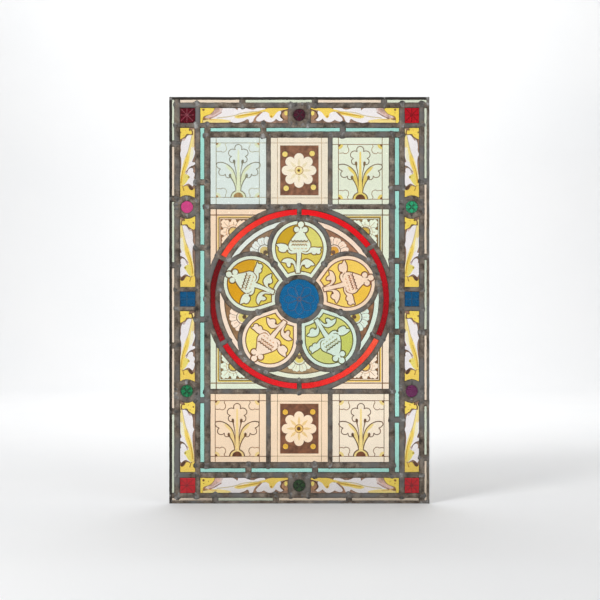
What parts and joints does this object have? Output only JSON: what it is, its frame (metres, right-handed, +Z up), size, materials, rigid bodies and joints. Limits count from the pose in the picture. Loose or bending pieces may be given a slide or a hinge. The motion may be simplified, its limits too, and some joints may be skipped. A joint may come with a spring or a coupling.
{
  "type": "stained glass window",
  "caption": "Upright leaded light: petalled roundel in a ruby ring, painted quarries, turquoise strip and leaf border with jewels, held in soldered lead came.",
  "frame": {"origin": "middle of the underside of the bottom edge lead, halfway through the panel's thickness, where the panel stands in its frame", "axes": "+Z up the panel, +X to the right seen from the painted face, and the painted face looks along -Y"},
  "size_m": [0.416, 0.006, 0.65],
  "materials": {
    "lead": "aged lead came, dull grey-brown, with brighter grey solder at the joints",
    "pale_glass": "thin pale cream and greenish cathedral glass, lightly streaked",
    "ruby_glass": "deep ruby pot glass, glossy, with traced lines on the corner squares",
    "scarlet_glass": "light ruby glass shading to orange red, glossy",
    "wine_glass": "dark wine glass with traced lines, glossy",
    "leaf_glass": "white glass with silver-stained yellow leaves and a brown matt ground",
    "pink_glass": "gold pink glass, glossy",
    "green_glass": "green pot glass with a traced flower, glossy",
    "purple_glass": "purple pot glass, glossy",
    "dark_green_glass": "very dark green glass with a traced flower",
    "blue_glass": "blue pot glass, glossy, lightly pitted",
    "turquoise_glass": "pale turquoise cathedral glass, softly streaked",
    "sprig_glass": "pale greenish white glass with thin traced foliage",
    "quarry_glass": "warm cream glass with thin traced foliage",
    "daisy_glass": "cream glass with a brown enamel ground round a white daisy",
    "field_glass": "cream and peach glass with brown ground and half flowers",
    "stained_glass": "pale glass with silver-stained yellow field and traced foliage"
  },
  "bodies": {
    "root": {"lead_lattice": "lead", "fillet_left": "pale_glass", "turquoise_strip_left": "turquoise_glass", "fillet_right": "pale_glass", "turquoise_strip_right": "turquoise_glass", "fillet_bottom": "pale_glass", "turquoise_strip_bottom": "turquoise_glass", "fillet_top": "pale_glass", "turquoise_strip_top": "turquoise_glass", "corner_top_left": "wine_glass", "corner_top_right": "ruby_glass", "corner_bottom_left": "ruby_glass", "corner_bottom_right": "ruby_glass", "leaf_left_1": "leaf_glass", "leaf_left_2": "leaf_glass", "leaf_left_3": "leaf_glass", "leaf_left_4": "leaf_glass", "jewel_left_upper": "pink_glass", "jewel_left_middle": "blue_glass", "jewel_left_lower": "green_glass", "leaf_right_1": "leaf_glass", "leaf_right_2": "leaf_glass", "leaf_right_3": "leaf_glass", "leaf_right_4": "leaf_glass", "jewel_right_upper": "green_glass", "jewel_right_middle": "blue_glass", "jewel_right_lower": "purple_glass", "leaf_top_left": "leaf_glass", "leaf_top_right": "leaf_glass", "jewel_top": "wine_glass", "leaf_bottom_left": "leaf_glass", "leaf_bottom_right": "leaf_glass", "jewel_bottom": "dark_green_glass", "quarry_top_left": "sprig_glass", "quarry_top_centre": "daisy_glass", "quarry_top_right": "sprig_glass", "quarry_bottom_left": "quarry_glass", "quarry_bottom_centre": "daisy_glass", "quarry_bottom_right": "quarry_glass", "field_corner_top_left": "field_glass", "field_corner_top_right": "field_glass", "field_corner_bottom_left": "field_glass", "field_corner_bottom_right": "field_glass", "ruby_ring_1": "scarlet_glass", "ruby_ring_2": "ruby_glass", "ruby_ring_3": "ruby_glass", "ruby_ring_4": "scarlet_glass", "ruby_ring_5": "ruby_glass", "ruby_ring_6": "ruby_glass", "petal_1": "stained_glass", "petal_spandrel_1": "field_glass", "petal_2": "stained_glass", "petal_spandrel_2": "field_glass", "petal_3": "stained_glass", "petal_spandrel_3": "field_glass", "petal_4": "stained_glass", "petal_spandrel_4": "field_glass", "petal_5": "stained_glass", "petal_spandrel_5": "field_glass", "roundel_centre": "blue_glass"}
  },
  "joints": []
}
